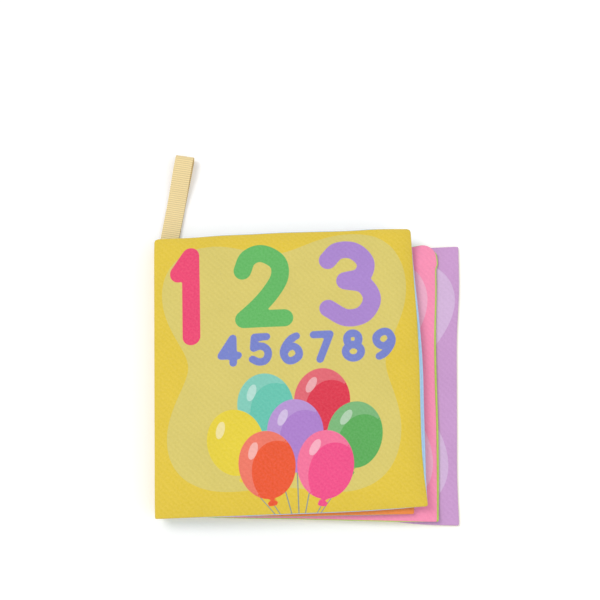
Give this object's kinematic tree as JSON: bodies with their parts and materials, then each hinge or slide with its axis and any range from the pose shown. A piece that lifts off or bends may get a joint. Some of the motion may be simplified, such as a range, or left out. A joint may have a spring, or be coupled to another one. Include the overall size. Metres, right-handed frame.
{
  "type": "crinkle cloth book",
  "caption": "Closed soft cloth book with padded square leaves that turn about a sewn spine, and a ribbon loop at the top.",
  "frame": {"origin": "middle of the spine's height and of the back cover's lower edge, on the back cover's resting face", "axes": "+X from the spine to the free edges, +Y up the page, +Z out of the front cover"},
  "size_m": [0.1677, 0.2131, 0.0185],
  "materials": {
    "yellow_cloth": "woven polyester, dull, printed",
    "light_blue_cloth": "woven polyester, dull, printed",
    "orange_cloth": "woven polyester, dull, printed",
    "teal_cloth": "woven polyester, dull, printed",
    "pink_cloth": "woven polyester, dull, printed",
    "lime_cloth": "woven polyester, dull, printed",
    "lavender_cloth": "woven polyester, dull, printed",
    "wadding": "lofted polyester fibre",
    "crinkle_film": "clear film",
    "thread": "twisted polyester thread",
    "ribbon": "ribbed grosgrain"
  },
  "bodies": {
    "root": {"back_cover_crinkle_film": "crinkle_film", "back_cover_lining_cloth": "lavender_cloth", "back_cover_outer_cloth": "yellow_cloth", "back_cover_seam_thread": "thread", "back_cover_wadding": "wadding", "ribbon_loop": "ribbon"},
    "lower_leaf": {"lower_leaf_back_cloth": "lime_cloth", "lower_leaf_crinkle_film": "crinkle_film", "lower_leaf_front_cloth": "pink_cloth", "lower_leaf_seam_thread": "thread", "lower_leaf_spine_cloth": "yellow_cloth", "lower_leaf_wadding": "wadding", "spine_stitching": "thread"},
    "upper_leaf": {"upper_leaf_back_cloth": "teal_cloth", "upper_leaf_crinkle_film": "crinkle_film", "upper_leaf_front_cloth": "orange_cloth", "upper_leaf_seam_thread": "thread", "upper_leaf_spine_cloth": "yellow_cloth", "upper_leaf_wadding": "wadding"},
    "front_cover": {"front_cover_crinkle_film": "crinkle_film", "front_cover_lining_cloth": "light_blue_cloth", "front_cover_outer_cloth": "yellow_cloth", "front_cover_seam_thread": "thread", "front_cover_wadding": "wadding"}
  },
  "joints": [
    {"name": "lower_leaf_turn", "type": "hinge", "parent": "root", "child": "lower_leaf", "pos_m": [-0.0784, 0, 0.0037], "axis": [0, -1, 0], "range_deg": [0, 52]},
    {"name": "upper_leaf_turn", "type": "hinge", "parent": "lower_leaf", "child": "upper_leaf", "pos_m": [-0.0784, 0, 0.0074], "axis": [0, -1, 0], "range_deg": [0, 52]},
    {"name": "front_cover_turn", "type": "hinge", "parent": "upper_leaf", "child": "front_cover", "pos_m": [-0.0784, 0, 0.0111], "axis": [0, -1, 0], "range_deg": [0, 52]}
  ]
}
